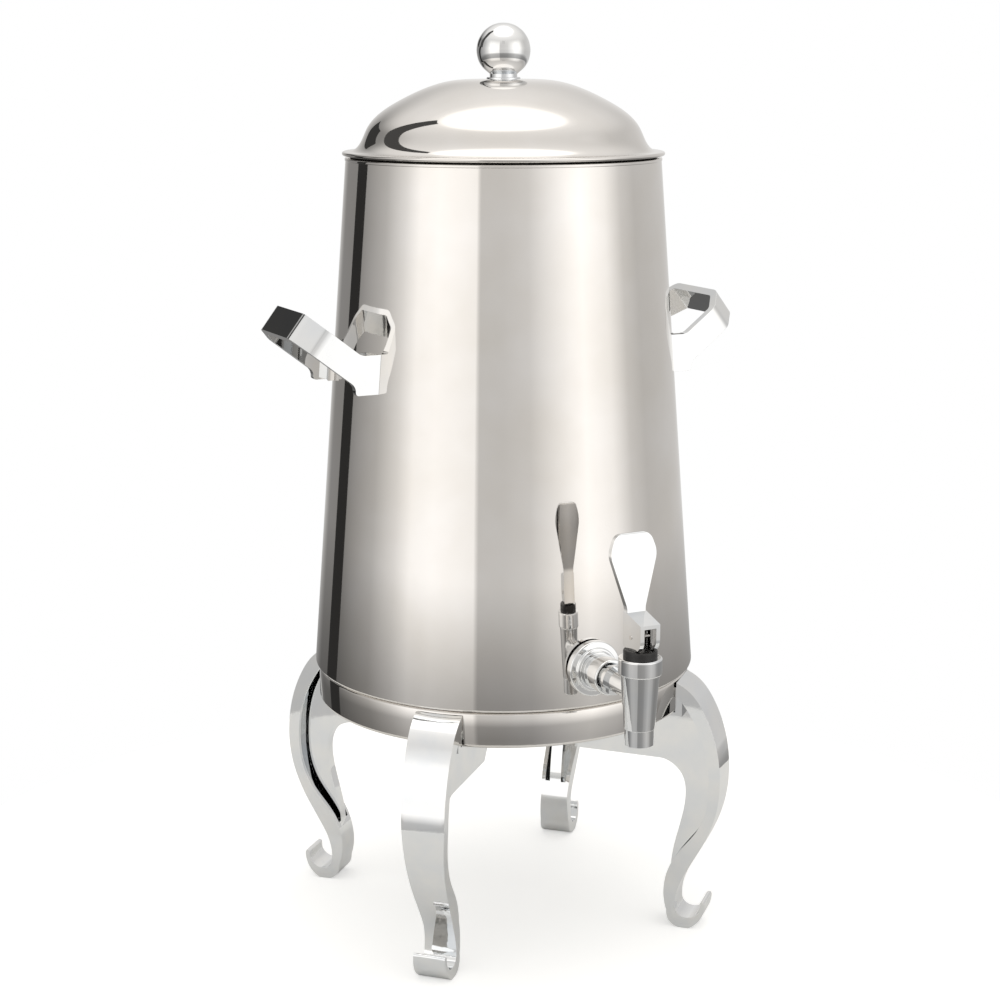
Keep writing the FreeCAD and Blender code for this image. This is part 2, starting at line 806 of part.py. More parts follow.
def tap_union_nut():
    start = union_start()
    flange_end = tail_start() + tail_flange_thickness
    end = flange_end + union_lip
    nut = tap_rod(union_radius, start, end)
    nut = nut.cut(tap_rod(outlet_radius + thread_gap, start - 1, tail_start() - 1))
    nut = nut.cut(tap_rod(tail_flange_radius + 0.2, tail_start() - 1.4, flange_end + seat_gap))
    nut = nut.cut(tap_rod(tail_radius + 0.2, start, end + 1))
    return nut.makeFillet(1.2, [edge for edge in nut.Edges if is_union_rim(edge)])


def is_union_rim(edge):
    return len(edge.Vertexes) == 1 and abs(edge.Curve.Radius - union_radius) < 0.01


def tap_body():
    """Valve body with its level tail, chamber, valve seat and spout."""
    seat_z = tap_z - tap_seat_drop
    shoulder_low = shoulder_top_z - shoulder_height
    spout_top = tap_bottom_z + spout_length
    body = spun([(0, tap_bottom_z), (spout_radius, tap_bottom_z, 0.8), (spout_radius, spout_top),
                 (valve_low_radius, spout_top, 0.5), (valve_top_radius, shoulder_low),
                 (shoulder_radius, shoulder_low, 1.2), (shoulder_radius, shoulder_top_z, 1.2),
                 (0, shoulder_top_z)], -tap_reach)
    start = tail_start()
    tail = tap_rod(tail_radius, start, tap_reach)
    flange = tap_rod(tail_flange_radius, start, start + tail_flange_thickness)
    bead_start = start + tail_flange_thickness + union_lip + 3.0
    bead = tap_rod(tail_bead_radius, bead_start, bead_start + tail_bead_length)
    body = body.fuse([tail, flange, bead])
    body = body.cut(tap_rod(outlet_bore, start - 1, tap_reach))
    body = body.cut(up_rod(chamber_radius, 0, -tap_reach, seat_z, 60))
    body = body.cut(up_rod(spout_bore, 0, -tap_reach, tap_bottom_z - 1, 40))
    return body.removeSplitter()


def tap_bonnet():
    skirt_low = shoulder_top_z - bonnet_skirt_depth
    bore = stem_radius + stem_gap
    return spun([(bore, skirt_low), (chamber_radius - thread_gap, skirt_low),
                 (chamber_radius - thread_gap, shoulder_top_z), (bonnet_radius, shoulder_top_z, 0.6),
                 (bonnet_radius, bonnet_top_z, 1.2), (bore, bonnet_top_z)], -tap_reach)


def seat_cup_low():
    return tap_z - tap_seat_drop + 0.1


def tap_seat_cup():
    """Soft cup on the stem's end that closes the outlet."""
    low = seat_cup_low()
    top = low + seat_cup_height
    return spun([(0, low), (seat_cup_radius - 1.6, low, 1.0), (seat_cup_radius, low + 3.0, 1.0),
                 (seat_cup_radius - 1.2, top), (stem_radius + seat_gap, top),
                 (stem_radius + seat_gap, low + 3.0), (0, low + 3.0)], -tap_reach)


def tap_stem():
    low = seat_cup_low() + 3.0 + seat_gap
    top = pin_z + 4.4
    stem = up_rod(stem_radius, 0, -tap_reach, low, top - low)
    collar = up_rod(spring_radius + spring_wire, 0, -tap_reach,
                    seat_cup_low() + seat_cup_height + seat_gap, 1.2)
    stem = stem.fuse(collar)
    for side in (-1, 1):
        x = stem_flat if side > 0 else -stem_flat - 10
        start = FreeCAD.Vector(x, -tap_reach - 10, bonnet_top_z + 2.6)
        stem = stem.cut(Part.makeBox(10, 20, 20, start))
    start = FreeCAD.Vector(-10, -tap_reach, pin_z)
    return stem.cut(rod(pin_radius + stem_gap, start, FreeCAD.Vector(1, 0, 0), 20)).removeSplitter()


def spring_ends():
    low = seat_cup_low() + seat_cup_height + seat_gap + 1.2 + spring_wire + 0.05
    high = shoulder_top_z - bonnet_skirt_depth - spring_wire - 0.05
    return low, high


def tap_spring():
    """Coil spring between the stem's collar and the bonnet, in quarter turns joined as one tube."""
    low, high = spring_ends()
    steps = spring_turns * 4
    places = []
    for i in range(2 * steps + 1):
        angle = math.radians(45 * i)
        places.append(FreeCAD.Vector(spring_radius * math.cos(angle), spring_radius * math.sin(angle),
                                     low + (high - low) * i / (2 * steps)))
    edges = [Part.Arc(places[2 * i], places[2 * i + 1], places[2 * i + 2]).toShape() for i in range(steps)]
    path = Part.Wire(edges)
    ring = Part.Wire(Part.makeCircle(spring_wire, places[0], edges[0].tangentAt(edges[0].FirstParameter)))
    coil = path.makePipeShell([ring], True, False)
    coil.translate(FreeCAD.Vector(0, -tap_reach, 0))
    return coil


def lever_pin():
    start = FreeCAD.Vector(-lever_half_width - 0.4, -tap_reach, pin_z)
    return rod(pin_radius, start, FreeCAD.Vector(1, 0, 0), 2 * lever_half_width + 0.8)


def tap_lever():
    """Lever with a slotted cam block on the pin and a broad paddle above it."""
    foot = pin_rise - cam_gap
    front = cam_offset + foot
    neck = paddle_root_rise
    block_edges = [
        line((cam_offset, -foot), (-block_rear + 1.5, -foot)),
        line((-block_rear + 1.5, -foot), (-block_rear, -foot + 1.5)),
        line((-block_rear, -foot + 1.5), (-block_rear, neck)),
        line((-block_rear, neck), (-block_rear + paddle_thickness, neck)),
        line((-block_rear + paddle_thickness, neck), (front, block_front_height)),
        line((front, block_front_height), (front, 0)),
        Part.Arc(point(front, 0), point(cam_offset + foot * math.sqrt(0.5), -foot * math.sqrt(0.5)),
                 point(cam_offset, -foot)).toShape()]
    block = extruded(Part.Face(Part.Wire(block_edges)), lever_half_width)
    slot = Part.makeBox(60, 2 * slot_half_width, foot + slot_rise + 1,
                        FreeCAD.Vector(-block_rear + 3.6, -slot_half_width, -foot - 1))
    block = block.cut(slot)

    lean = math.tan(math.radians(paddle_lean)) * paddle_length
    top = neck + paddle_length
    blade_side = extruded(outline([(-block_rear, neck - 4), (-block_rear + paddle_thickness, neck - 4),
                                   (-block_rear + paddle_thickness, neck + 2, 60),
                                   (-block_rear - lean + paddle_tip_thickness, top, 1.4),
                                   (-block_rear - lean, top, 1.4), (-block_rear, neck + 2, 60)]), 40)
    root = paddle_root_half_width
    widest = top - 13.0
    blade_front = front_extruded([(-root, neck - 4), (root, neck - 4), (root, neck + 3, 12),
                                  (paddle_half_width, widest, 14), (paddle_half_width - 4.6, top, 8),
                                  (-paddle_half_width + 4.6, top, 8), (-paddle_half_width, widest, 14),
                                  (-root, neck + 3, 12)], cut_length)
    blade_front.translate(FreeCAD.Vector(-100, 0, 0))
    blade = blade_side.common(blade_front)
    lever = block.fuse(blade).removeSplitter()
    lever = lever.cut(rod(pin_radius, FreeCAD.Vector(0, -20, 0), FreeCAD.Vector(0, 1, 0), 40))
    lever.rotate(FreeCAD.Vector(0, 0, 0), FreeCAD.Vector(0, 0, 1), -90)
    lever.translate(FreeCAD.Vector(0, -tap_reach, pin_z))
    return lever


def write(name, shape):
    shape.exportStep("parts/" + name + ".step")


def main():
    os.makedirs("parts", exist_ok=True)
    pieces = {
        "outer_shell": outer_shell(), "shell_bottom": shell_bottom(), "vacuum_seal_cap": vacuum_seal_cap(),
        "inner_vessel": inner_vessel(), "mouth_ring": mouth_ring(), "seam_gasket": seam_gasket(),
        "base_band": base_band(), "base_plate": base_plate(), "base_weld_nuts": base_weld_nuts(),
        "leg_arm_screws": leg_arm_screws(), "leg_band_screws": leg_band_screws(),
        "handle_studs": handle_studs(), "lid_dome": lid_dome(), "lid_liner": lid_liner(),
        "lid_gasket": lid_gasket(), "knob_collar": knob_collar(), "lid_knob": lid_knob(),
        "knob_screw": knob_screw(), "outlet_tube": outlet_tube(), "escutcheon": escutcheon(),
        "outlet_seal": outlet_seal(), "tap_union_nut": tap_union_nut(), "tap_body": tap_body(),
        "tap_bonnet": tap_bonnet(), "tap_seat_cup": tap_seat_cup(), "tap_stem": tap_stem(),
        "tap_spring": tap_spring(), "tap_lever": tap_lever(), "lever_pin": lever_pin()}
    casting = leg()
    for name, angle in zip(leg_names, leg_angles):
        pieces[name] = turned(casting, angle)
    right = handle()
    pieces["right_handle"] = right
    pieces["left_handle"] = turned(right, 180)
    for name, shape in pieces.items():
        solids = len(shape.Solids)
        print(name, "solids", solids, "volume", round(shape.Volume, 1), "valid", shape.isValid())
        write(name, shape)


main()
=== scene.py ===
"""Polished insulated coffee urn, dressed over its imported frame.

Every piece is drawn in millimetres where it stands and is made metres when it is added.
+Z is up, the tap points to -Y and the handles to +X and -X.
"""

import math

import bmesh
import bpy
import numpy
from mathutils import Matrix


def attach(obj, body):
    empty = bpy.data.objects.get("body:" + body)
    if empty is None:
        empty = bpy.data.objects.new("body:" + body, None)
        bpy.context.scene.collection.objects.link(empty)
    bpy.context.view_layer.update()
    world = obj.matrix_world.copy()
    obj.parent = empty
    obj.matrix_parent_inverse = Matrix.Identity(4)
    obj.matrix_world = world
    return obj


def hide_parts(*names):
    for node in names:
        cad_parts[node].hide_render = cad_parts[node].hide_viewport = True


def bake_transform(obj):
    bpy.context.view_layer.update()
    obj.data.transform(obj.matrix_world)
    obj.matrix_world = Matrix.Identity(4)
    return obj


bl_info = {
    "name": "Polished coffee urn",
    "version": (1, 0, 0),
    "blender": (4, 5, 0),
    "location": "View3D > Sidebar > Urn",
    "description": "Builds the visible pieces of an insulated coffee urn over its frame",
    "category": "Object",
}

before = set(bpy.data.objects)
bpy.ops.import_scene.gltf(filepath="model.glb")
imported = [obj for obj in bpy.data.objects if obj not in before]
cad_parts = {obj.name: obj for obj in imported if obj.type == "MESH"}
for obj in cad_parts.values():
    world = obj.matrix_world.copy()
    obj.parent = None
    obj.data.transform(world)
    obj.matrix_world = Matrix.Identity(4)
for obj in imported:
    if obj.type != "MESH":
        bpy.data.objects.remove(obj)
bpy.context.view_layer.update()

MM = 0.001

# Sizes that the solids have too, in millimetres. Heights are above the floor.

# Body, mouth ring and the vessel inside
SEAM_TOP = 184.2
BODY_TOP = 532.0
SHELL_WALL = 0.9
FOOT_FLANGE = 12.0
RING_WIDTH = 21.6
RING_HEIGHT = 2.2
RING_OVERHANG = 0.4
VACUUM_GAP = 11.0
VESSEL_WALL = 0.8
VESSEL_SLANT_WALL = 0.9
VESSEL_FLOOR = 197.2
VESSEL_FLOOR_INSET = 1.0
VESSEL_CORNER = 14.0
NECK_FOOT = 519.0
NECK_FOOT_INSET = 10.9
NECK_SHOULDER = 523.0
NECK_DROP = 0.6

# Band and the seal over it
BAND_INSET = 2.6
BAND_FLANGE = 12.5
BAND_HEIGHT = 24.0
BAND_WALL = 1.2
BAND_BEND = 2.2
SEAL_HEIGHT = 0.8
SEAL_INSET = 2.4

# Lid: half section of the dome from the crown to the rim, and back under it, as radius and height
CROWN_TOP = 585.7
LID_SHEET = 1.0
DOME_OUTSIDE = ((14.0, 585.7), (37.6, 584.03), (54.52, 578.8), (70.03, 571.42), (83.19, 563.09),
                (91.37, 554.05), (94.75, 546.91), (98.7, 540.72), (103.87, 538.1))
DOME_INSIDE = ((103.87, 537.1), (98.15, 539.88), (93.77, 546.71), (90.45, 553.65), (82.49, 562.37),
               (69.55, 570.54), (54.24, 577.84), (37.5, 583.04), (14.0, 584.7))
BEAD_RADIUS = 1.35
BEAD_HEIGHT = 536.75
BEAD_INSIDE = 105.1
BEAD_STEPS = 10

# Knob and collar. The angles are those in radians above the ball's middle that its line runs through.
SCREW_HOLE = 3.05
KNOB_TOP = 622.4
KNOB_NECK = 9.2
KNOB_ANGLES = (-0.6, -0.2, 0.2, 0.6, 1.0, 1.35)
COLLAR_RADIUS = 11.4
COLLAR_HEIGHT = 1.2

# Tap. The wall plate and the nut are measured from the body's axis to the front.
TAP_AXIS = 193.0
TAP_HEIGHT = 211.0
TUBE_HOLE = 8.05
PLATE_BACK = 131.2
PLATE_RADIUS = 18.5
PLATE_EDGE = 135.7
PLATE_LEDGE = 135.9
PLATE_STEP_RADIUS = 14.5
PLATE_FRONT = 138.15
PLATE_RECESS = 137.4
PLATE_RECESS_RADIUS = 11.2
NUT_RADIUS = 12.0
NUT_FRONT = 157.05
NUT_LIP = 155.1
NUT_LIP_HOLE = 7.6
NUT_CHAMBER = 151.2
NUT_CHAMBER_RADIUS = 9.8
STEM_HOLE = 3.06
BONNET_PLUG = 8.55
BONNET_RADIUS = 10.8
BONNET_FOOT = 225.5
BONNET_SEAT = 232.5
BONNET_TOP = 240.1

# The valve's outer shoulder, above this height and outside this radius, is drawn so much taller than the
# solid's, and so covers the lower edge of the black ring.
VALVE_SHOULDER = 230.9
VALVE_SHOULDER_RADIUS = 10.9
VALVE_SHOULDER_LIFT = 2.4

LEGS = ("front_right", "rear_right", "rear_left", "front_left")
HANDLES = ("right", "left")

STEEL_NODES = ("shell_bottom", "vacuum_seal_cap", "base_plate", "base_weld_nuts", "leg_arm_screws",
               "leg_band_screws", "handle_studs", "lid_liner", "knob_screw", "outlet_tube",
               "tap_stem", "lever_pin")
SILICONE_NODES = ("outlet_seal", "tap_seat_cup", "lid_gasket")


def hex_colour(text):
    """Linear red, green, blue and alpha of an sRGB hex colour."""
    channels = [int(text[i:i + 2], 16) / 255 for i in (0, 2, 4)]
    linear = [c / 12.92 if c <= 0.04045 else ((c + 0.055) / 1.055) ** 2.4 for c in channels]
    return (*linear, 1.0)


# Sizes and colours that a user would change

class UrnSizes(bpy.types.PropertyGroup):
    foot_radius: bpy.props.FloatProperty(
        name="Foot radius", description="Radius of the body at its seam with the base",
        default=133.2 * MM, unit="LENGTH")
    top_radius: bpy.props.FloatProperty(
        name="Top radius", description="Radius of the body at its mouth",
        default=106.6 * MM, unit="LENGTH")
    rim_radius: bpy.props.FloatProperty(
        name="Lid rim radius", description="Outer radius of the lid's rolled rim",
        default=108.8 * MM, unit="LENGTH")
    knob_radius: bpy.props.FloatProperty(
        name="Knob radius", description="Radius of the ball on the lid",
        default=18.0 * MM, unit="LENGTH")
    cast_edge: bpy.props.FloatProperty(
        name="Casting edge", description="Width of the polished rounding on cast edges",
        default=0.8 * MM, unit="LENGTH")
    lever_edge: bpy.props.FloatProperty(
        name="Lever edge", description="Width of the polished rounding on the tap lever's edges",
        default=0.6 * MM, unit="LENGTH")
    valve_edge: bpy.props.FloatProperty(
        name="Valve edge", description="Width of the polished rounding on the valve body's edges",
        default=0.4 * MM, unit="LENGTH")
    camera_distance: bpy.props.FloatProperty(
        name="Camera distance", description="Level distance from the urn's axis to the camera",
        default=1.3711, unit="LENGTH")
    camera_height: bpy.props.FloatProperty(
        name="Camera height", description="Height of the camera above the floor",
        default=0.5988, unit="LENGTH")


class UrnColours(bpy.types.PropertyGroup):
    steel: bpy.props.FloatVectorProperty(
        name="Stainless steel", description="Colour of the polished sheet",
        default=hex_colour("E7E4E1"), size=4, subtype="COLOR")
    steel_warm: bpy.props.FloatVectorProperty(
        name="Stainless steel, warm", description="Colour of the sheet where the polish is thinner",
        default=hex_colour("E1DDD8"), size=4, subtype="COLOR")
    chrome: bpy.props.FloatVectorProperty(
        name="Chrome plate", description="Colour of the plated castings",
        default=hex_colour("EDEDEC"), size=4, subtype="COLOR")
    chrome_cool: bpy.props.FloatVectorProperty(
        name="Chrome plate, cool", description="Colour of the thicker plate",
        default=hex_colour("E6E8EA"), size=4, subtype="COLOR")
    nylon: bpy.props.FloatVectorProperty(
        name="Black nylon", description="Colour of the moulded bonnet ring",
        default=hex_colour("1E1C1B"), size=4, subtype="COLOR")
    silicone: bpy.props.FloatVectorProperty(
        name="Silicone", description="Colour of the seals",
        default=hex_colour("2A2725"), size=4, subtype="COLOR")
    floor: bpy.props.FloatVectorProperty(
        name="Floor", description="Colour of the studio floor",
        default=hex_colour("E4E4E2"), size=4, subtype="COLOR")


# Nodes and materials

def add_node(tree, kind, settings=None, links=None):
    """One node with its settings, by socket name or number or by attribute, and its incoming links."""
    node = tree.nodes.new(kind)
    for name, value in (settings or {}).items():
        if isinstance(name, int) or name in node.inputs:
            node.inputs[name].default_value = value
        else:
            setattr(node, name, value)
    for name, socket in (links or {}).items():
        tree.links.new(socket, node.inputs[name])
    return node


def set_stops(ramp, stops):
    """Gives a colour ramp its stops, each a place from 0 to 1 with a colour."""
    elements = ramp.color_ramp.elements
    while len(elements) > 1:
        elements.remove(elements[-1])
    elements[0].position = stops[0][0]
    elements[0].color = stops[0][1]
    for place, colour in stops[1:]:
        elements.new(place).color = colour


def new_material(name):
    """An empty material with its output and the object's own coordinates."""
    material = bpy.data.materials.new(name)
    material.use_nodes = True
    tree = material.node_tree
    tree.nodes.clear()
    output = add_node(tree, "ShaderNodeOutputMaterial")
    place = add_node(tree, "ShaderNodeTexCoord").outputs["Object"]
    return material, tree, output, place


def polished_metal(name, colours, patch, roughness, marks, wave):
    """Mirror polished metal.

    patch is the size of its faint colour patches, marks that of its buffing marks and wave that of its
    long ripples, in metres. roughness is the least and the most that the marks give. Real buffing marks
    are too fine to show, so they are drawn coarser, and nine times as long round the urn as they are high.
    """
    material, tree, output, place = new_material(name)
    tone = add_node(tree, "ShaderNodeTexNoise", {"Scale": 1 / patch, "Detail": 3.0}, {"Vector": place})
    ramp = add_node(tree, "ShaderNodeValToRGB", None, {"Fac": tone.outputs[0]})
    set_stops(ramp, ((0.35, colours[0]), (0.65, colours[1])))
    marks_place = add_node(tree, "ShaderNodeMapping", {"Scale": (1.0, 1.0, 9.0)}, {"Vector": place})
    buffing = add_node(tree, "ShaderNodeTexNoise", {"Scale": 1 / marks, "Detail": 4.0, "Roughness": 0.6},
                       {"Vector": marks_place.outputs[0]})
    sheen = add_node(tree, "ShaderNodeMapRange",
                     {"From Min": 0.3, "From Max": 0.75, "To Min": roughness[0], "To Max": roughness[1]},
                     {"Value": buffing.outputs[0]})
    ripple = add_node(tree, "ShaderNodeTexNoise", {"Scale": 1 / wave, "Detail": 1.0}, {"Vector": place})
    soft = add_node(tree, "ShaderNodeBump", {"Strength": 0.15, "Distance": 0.08 * MM},
                    {"Height": ripple.outputs[0]})
    fine = add_node(tree, "ShaderNodeBump", {"Strength": 0.05, "Distance": 0.02 * MM},
                    {"Height": buffing.outputs[0], "Normal": soft.outputs[0]})
    surface = add_node(tree, "ShaderNodeBsdfPrincipled", {"Metallic": 1.0},
                       {"Base Color": ramp.outputs[0], "Roughness": sheen.outputs[0],
                        "Normal": fine.outputs[0]})
    tree.links.new(surface.outputs[0], output.inputs["Surface"])
    return material


def moulded(name, colour, grain, roughness, ior):
    """Moulded plastic or rubber with the grain of its mould, drawn a little coarser than it is to show.

    grain is its size in metres and roughness the least and the most that it gives.
    """
    material, tree, output, place = new_material(name)
    skin = add_node(tree, "ShaderNodeTexNoise", {"Scale": 1 / grain, "Detail": 4.0}, {"Vector": place})
    darker = [channel * 0.7 for channel in colour[:3]] + [1.0]
    ramp = add_node(tree, "ShaderNodeValToRGB", None, {"Fac": skin.outputs[0]})
    set_stops(ramp, ((0.3, darker), (0.7, colour)))
    dull = add_node(tree, "ShaderNodeMapRange", {"To Min": roughness[0], "To Max": roughness[1]},
                    {"Value": skin.outputs[0]})
    bump = add_node(tree, "ShaderNodeBump", {"Strength": 0.25, "Distance": 0.05 * MM},
                    {"Height": skin.outputs[0]})
    surface = add_node(tree, "ShaderNodeBsdfPrincipled", {"IOR": ior},
                       {"Base Color": ramp.outputs[0], "Roughness": dull.outputs[0],
                        "Normal": bump.outputs[0]})
    tree.links.new(surface.outputs[0], output.inputs["Surface"])
    return material


def finish(name):
    """The material of that finish, made when it is first asked for."""
    if name in bpy.data.materials:
        return bpy.data.materials[name]
    colours = bpy.context.scene.urn_colours
    if name == "polished_stainless_steel":
        # Spun sheet buffed to a mirror: faint rings of buffing marks and a slow ripple in the reflections
        return polished_metal(name, (colours.steel, colours.steel_warm), patch=60 * MM,
                              roughness=(0.025, 0.06), marks=4 * MM, wave=30 * MM)
    if name == "bright_chrome_plate":
        # Plated over a hand polished casting: sharper and cooler, with slight orange peel
        return polished_metal(name, (colours.chrome, colours.chrome_cool), patch=20 * MM,
                              roughness=(0.015, 0.045), marks=2 * MM, wave=12 * MM)
    if name == "moulded_black_nylon":
        # Injection moulded with a spark finish: soft broad highlights
        return moulded(name, colours.nylon, grain=0.6 * MM, roughness=(0.35, 0.5), ior=1.53)
    # Pressed silicone seals: dull, with a powdery grain
    return moulded(name, colours.silicone, grain=0.9 * MM, roughness=(0.55, 0.7), ior=1.41)


# Modelling

CORNER_SEGMENTS = 6
KNOB_RESOLUTION = 12
MERGE_DISTANCE = 0.001
FLAT_ANGLE = math.radians(0.6)
SHARP_ANGLE = math.radians(40)
EDGE_SEGMENTS = 3
EDGE_ANGLE = math.radians(28)
FLAT_FACE_WEIGHT = 80


def outline(corners):
    """Closed line in the XZ plane.

    A corner is (x, z), or (x, z, cut) where its rounding starts that far off.
    """
    mesh = bmesh.new()
    points = [mesh.verts.new((corner[0], 0, corner[1])) for corner in corners]
    for here, following in zip(points, points[1:] + points[:1]):
        mesh.edges.new((here, following))
    for cut in sorted({corner[2] for corner in corners if len(corner) > 2}):
        rounded = [here for here, corner in zip(points, corners) if len(corner) > 2 and corner[2] == cut]
        bmesh.ops.bevel(mesh, geom=rounded, offset=cut, offset_type="OFFSET", segments=CORNER_SEGMENTS,
                        profile=0.5, affect="VERTICES", material=-1)
    return mesh


def flowing(points):
    """Closed line in the XZ plane that runs smoothly through its points. (x, z, True) is a sharp one."""
    curve = bpy.data.curves.new("line", "CURVE")
    curve.dimensions = "3D"
    curve.resolution_u = KNOB_RESOLUTION
    spline = curve.splines.new("BEZIER")
    spline.bezier_points.add(len(points) - 1)
    spline.use_cyclic_u = True
    for knot, point in zip(spline.bezier_points, points):
        knot.co = (point[0], 0, point[1])
        kind = "VECTOR" if len(point) > 2 else "AUTO"
        knot.handle_left_type = kind
        knot.handle_right_type = kind
    carrier = bpy.data.objects.new("line", curve)
    line = bpy.data.meshes.new_from_object(carrier)
    mesh = bmesh.new()
    mesh.from_mesh(line)
    bpy.data.objects.remove(carrier)
    bpy.data.curves.remove(curve)
    bpy.data.meshes.remove(line)
    return mesh


def smooth_line(points, steps=10):
    """Closely spaced points on the curve of least bending through (x, z) points, level at both ends."""
    places = numpy.array(points, dtype=float)
    moves = numpy.diff(places, axis=0)
    spans = numpy.linalg.norm(moves, axis=1)
    system = numpy.eye(len(places))
    wanted = numpy.zeros((len(places), 2))
    wanted[0] = wanted[-1] = numpy.sign(places[-1][0] - places[0][0]), 0.0
    for i in range(1, len(places) - 1):
        before, after = spans[i - 1], spans[i]
        system[i, i - 1:i + 2] = 1 / before, 2 / before + 2 / after, 1 / after
        wanted[i] = 3 * (moves[i - 1] / before ** 2 + moves[i] / after ** 2)
    slopes = numpy.linalg.solve(system, wanted)
    line = [tuple(places[0])]
    for i, span in enumerate(spans):
        for step in range(1, steps + 1):
            t = step / steps
            here = ((2 * t ** 3 - 3 * t ** 2 + 1) * places[i]
                    + (t ** 3 - 2 * t ** 2 + t) * span * slopes[i]
                    + (3 * t ** 2 - 2 * t ** 3) * places[i + 1]
                    + (t ** 3 - t ** 2) * span * slopes[i + 1])
            line.append(tuple(here))
    return line


def spun(mesh, steps):
    """Turns a line right round the upright axis into a closed skin."""
    bmesh.ops.spin(mesh, geom=mesh.verts[:] + mesh.edges[:], cent=(0, 0, 0), axis=(0, 0, 1),
                   angle=math.tau, steps=steps, use_merge=True)
    bmesh.ops.remove_doubles(mesh, verts=mesh.verts[:], dist=MERGE_DISTANCE)
    bmesh.ops.dissolve_degenerate(mesh, edges=mesh.edges[:], dist=MERGE_DISTANCE)
    bmesh.ops.recalc_face_normals(mesh, faces=mesh.faces[:])
    return mesh


def to_tap_line(mesh):
    """Lays a piece turned about the upright axis level, so that its height points to the front."""
    level = Matrix.Rotation(math.pi / 2, 3, "X")
    bmesh.ops.rotate(mesh, verts=mesh.verts[:], cent=(0, 0, 0), matrix=level)
    bmesh.ops.translate(mesh, verts=mesh.verts[:], vec=(0, 0, TAP_HEIGHT))
    return mesh


def casting_copy(node):
    """The solid's own mesh, merged, with its flat faces made whole, in millimetres."""
    mesh = bmesh.new()
    mesh.from_mesh(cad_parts[node].data)
    bmesh.ops.scale(mesh, vec=(1 / MM, 1 / MM, 1 / MM), verts=mesh.verts[:])
    bmesh.ops.remove_doubles(mesh, verts=mesh.verts[:], dist=2 * MERGE_DISTANCE)
    bmesh.ops.dissolve_limit(mesh, angle_limit=FLAT_ANGLE, verts=mesh.verts[:], edges=mesh.edges[:])
    return mesh


def add_piece(mesh, name, body, finish_name, nodes, edge=0.0):
    """Makes the mesh an object in metres that stands for its nodes and rides on a body.

    edge is the width of the rounding on a casting's edges. With no body the piece is left unattached.
    """
    bmesh.ops.scale(mesh, vec=(MM, MM, MM), verts=mesh.verts[:])
    for face in mesh.faces:
        face.smooth = True
    if not edge:
        for line in mesh.edges:
            line.smooth = len(line.link_faces) == 2 and line.calc_face_angle() < SHARP_ANGLE
    data = bpy.data.meshes.new(name)
    mesh.to_mesh(data)
    mesh.free()
    piece = bpy.data.objects.new(name, data)
    bpy.context.collection.objects.link(piece)
    data.materials.append(finish(finish_name))
    if edge:
        rounding = piece.modifiers.new("polished_edges", "BEVEL")
        rounding.width = edge
        rounding.segments = EDGE_SEGMENTS
        rounding.limit_method = "ANGLE"
        rounding.angle_limit = EDGE_ANGLE
        rounding.miter_outer = "MITER_ARC"
        evened = piece.modifiers.new("even_shading", "WEIGHTED_NORMAL")
        evened.weight = FLAT_FACE_WEIGHT
    if body:
        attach(piece, body)
    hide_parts(*nodes)
    return piece


def add_steel(mesh, name, nodes, body="urn"):
    return add_piece(mesh, name, body, "polished_stainless_steel", nodes)


def add_chrome(mesh, name, nodes, body="urn", edge=0.0):
    return add_piece(mesh, name, body, "bright_chrome_plate", nodes, edge=edge)


# Operators

class URN_OT_body(bpy.types.Operator):
    """Adds the tapered outer shell, the mouth ring and the vessel inside"""

    bl_idname = "urn.body"
    bl_label = "Body"

    def execute(self, context):
        sizes = context.scene.urn_sizes
        foot = sizes.foot_radius / MM
        top = sizes.top_radius / MM
        flange = foot - FOOT_FLANGE
        shell = outline(((flange, SEAM_TOP), (foot, SEAM_TOP, 2.2), (top, BODY_TOP),
                         (top - SHELL_WALL, BODY_TOP), (foot - SHELL_WALL, SEAM_TOP + SHELL_WALL, 1.6),
                         (flange, SEAM_TOP + SHELL_WALL)))
        add_steel(spun(shell, steps=256), "tapered_outer_shell", ("outer_shell",))

        neck = top - RING_WIDTH
        rim = top + RING_OVERHANG
        rim_top = BODY_TOP + RING_HEIGHT
        ring = outline(((neck, BODY_TOP), (rim, BODY_TOP, 0.4), (rim, rim_top, 0.9), (neck, rim_top, 1.4)))
        add_steel(spun(ring, steps=192), "mouth_ring_rim", ("mouth_ring",))

        floor_radius = foot - SHELL_WALL - VACUUM_GAP - VESSEL_FLOOR_INSET
        floor_top = VESSEL_FLOOR + VESSEL_WALL
        neck_foot = top - NECK_FOOT_INSET
        vessel = outline(((0.0, VESSEL_FLOOR), (floor_radius, VESSEL_FLOOR, VESSEL_CORNER),
                          (neck_foot, NECK_FOOT, 4.0), (neck + VESSEL_WALL, NECK_SHOULDER, 3.0),
                          (neck + VESSEL_WALL, BODY_TOP), (neck, BODY_TOP),
                          (neck, NECK_SHOULDER - NECK_DROP, 3.0),
                          (neck_foot - VESSEL_SLANT_WALL, NECK_FOOT - NECK_DROP, 4.0),
                          (floor_radius - VESSEL_SLANT_WALL, floor_top, VESSEL_CORNER - VESSEL_WALL),
                          (0.0, floor_top)))
        add_steel(spun(vessel, steps=160), "inner_vessel_skin", ("inner_vessel",))
        return {"FINISHED"}


